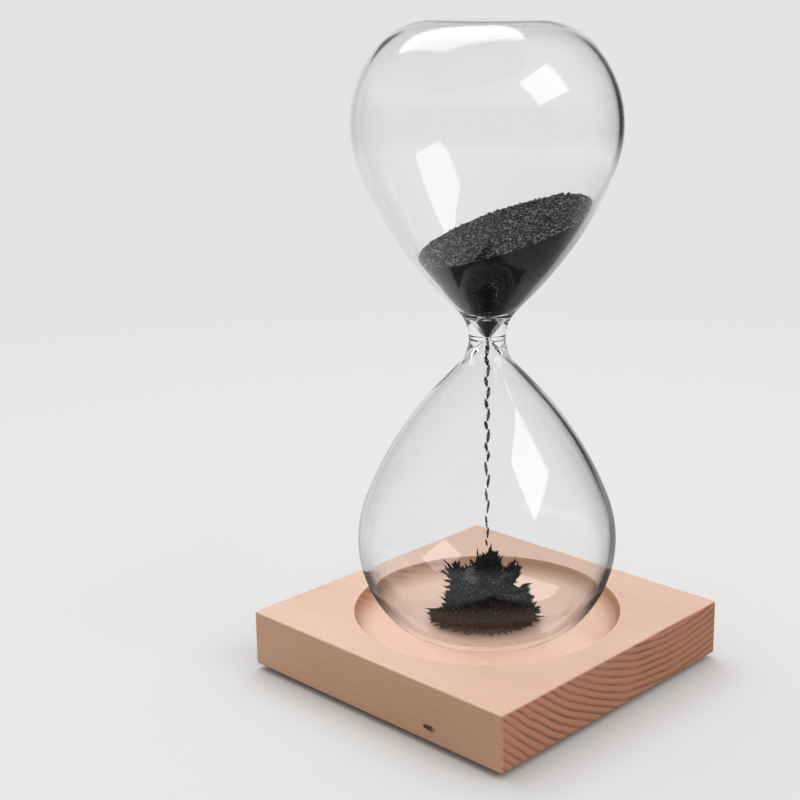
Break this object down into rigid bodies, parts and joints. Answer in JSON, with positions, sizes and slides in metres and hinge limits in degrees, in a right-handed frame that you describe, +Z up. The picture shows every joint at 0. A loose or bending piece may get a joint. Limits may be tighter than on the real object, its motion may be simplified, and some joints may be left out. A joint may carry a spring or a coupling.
{
  "type": "magnetic hourglass",
  "caption": "Hourglass of blown glass that stands in a dished wooden block; a hidden magnet draws the falling iron powder into a spiky stepped cone.",
  "frame": {"origin": "centre of the block's footprint, at the height of the table that the feet stand on", "axes": "+Z up along the axis of the glass, X along the grain of the block, X and Y along the block's sides"},
  "size_m": [0.08, 0.08, 0.155],
  "materials": {
    "beech": "pale beech, sanded and left almost matt",
    "glass": "clear blown glass, polished",
    "iron_powder": "black iron grains, matt with a faint metallic glint",
    "nickel": "nickel plate over a sintered magnet",
    "felt": "dark pressed felt",
    "rubber": "soft black rubber"
  },
  "bodies": {
    "base": {"base_block": "beech", "base_magnet": "nickel", "magnet_cover": "felt", "foot_front_left": "rubber", "foot_front_right": "rubber", "foot_back_left": "rubber", "foot_back_right": "rubber"},
    "grain_plug": {"throat_powder": "iron_powder"},
    "glass": {"upper_bulb": "glass", "lower_bulb": "glass", "powder_charge": "iron_powder", "powder_stream": "iron_powder", "cone_skirt": "iron_powder", "cone_middle": "iron_powder", "cone_crown": "iron_powder"}
  },
  "joints": [
    {"name": "glass_lift", "type": "slide", "parent": "base", "child": "grain_plug", "axis": [0, 0, 1], "range_m": [0, 0.08]},
    {"name": "glass_turn", "type": "hinge", "parent": "grain_plug", "child": "glass", "pos_m": [0, 0, 0.08255], "axis": [0, 1, 0], "range_deg": [0, 180]}
  ],
  "couplings": [
    {"joint": "glass_turn", "follows": "glass_lift", "rad_per_m": 39.27}
  ]
}
